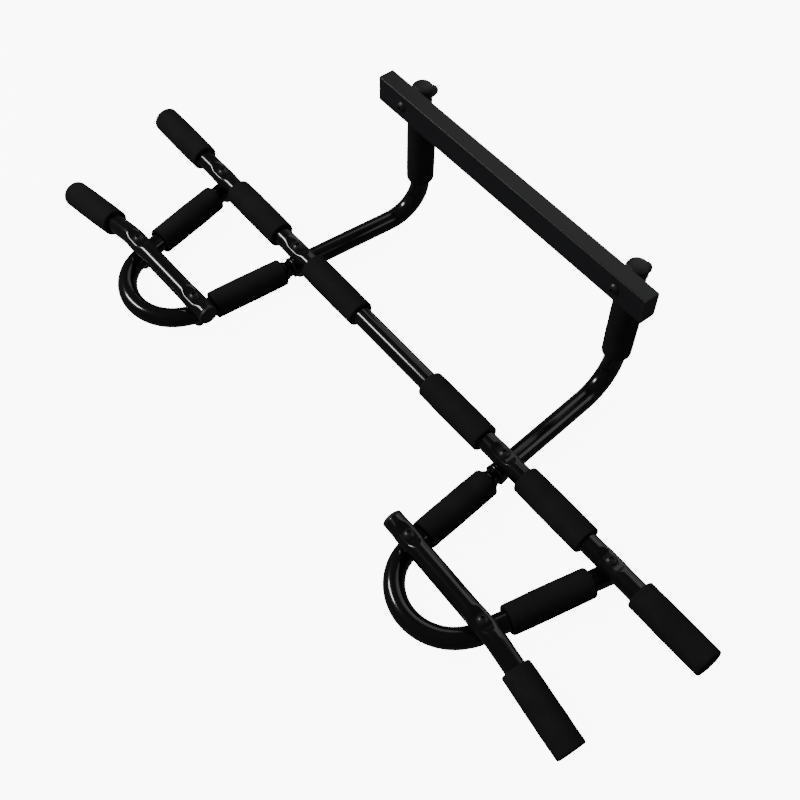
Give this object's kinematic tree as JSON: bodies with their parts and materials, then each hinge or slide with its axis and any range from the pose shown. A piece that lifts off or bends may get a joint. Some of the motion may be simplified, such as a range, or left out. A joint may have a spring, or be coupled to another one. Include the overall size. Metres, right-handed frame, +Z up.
{
  "type": "doorway pull-up bar",
  "caption": "Doorway pull-up bar with padded multi-grip handles, two front loops and a trim bar that hooks over the door head.",
  "frame": {"origin": "on the floor under the middle of the whole bar as it stands on its dome nuts", "axes": "+X along the main bar, +Y through the doorway towards the trim bar, +Z up"},
  "size_m": [1.0048, 0.4142, 0.2256],
  "materials": {
    "tube_paint": "gloss black powder coat on steel tube",
    "trim_paint": "satin black powder coat on rectangular steel tube",
    "grip_foam": "matt black closed-cell foam",
    "cap_plastic": "satin black moulded plastic",
    "bolt_metal": "black zinc on steel"
  },
  "bodies": {
    "root": {"main_bar": "tube_paint", "loop_tube_left": "tube_paint", "loop_tube_right": "tube_paint", "arm_tube_left": "tube_paint", "arm_tube_right": "tube_paint", "front_bar_left": "tube_paint", "front_bar_right": "tube_paint", "trim_bar": "trim_paint", "trim_end_cap_left": "cap_plastic", "trim_end_cap_right": "cap_plastic", "post_cap_left": "cap_plastic", "post_cap_right": "cap_plastic", "loop_end_plug_left": "cap_plastic", "loop_end_plug_right": "cap_plastic", "front_bar_plug_left": "cap_plastic", "front_bar_plug_right": "cap_plastic", "centre_grip_left": "grip_foam", "centre_grip_right": "grip_foam", "outer_grip_left": "grip_foam", "outer_grip_right": "grip_foam", "end_grip_left": "grip_foam", "end_grip_right": "grip_foam", "outer_leg_grip_left": "grip_foam", "outer_leg_grip_right": "grip_foam", "inner_leg_grip_left": "grip_foam", "inner_leg_grip_right": "grip_foam", "handle_grip_left": "grip_foam", "handle_grip_right": "grip_foam", "post_pad_left": "grip_foam", "post_pad_right": "grip_foam", "main_bolts": "bolt_metal", "main_washers": "bolt_metal", "main_dome_nuts": "bolt_metal", "front_bolts": "bolt_metal", "front_washers": "bolt_metal", "front_dome_nuts": "bolt_metal", "trim_bolts": "bolt_metal", "trim_washers": "bolt_metal", "trim_dome_nuts": "bolt_metal"}
  },
  "joints": []
}
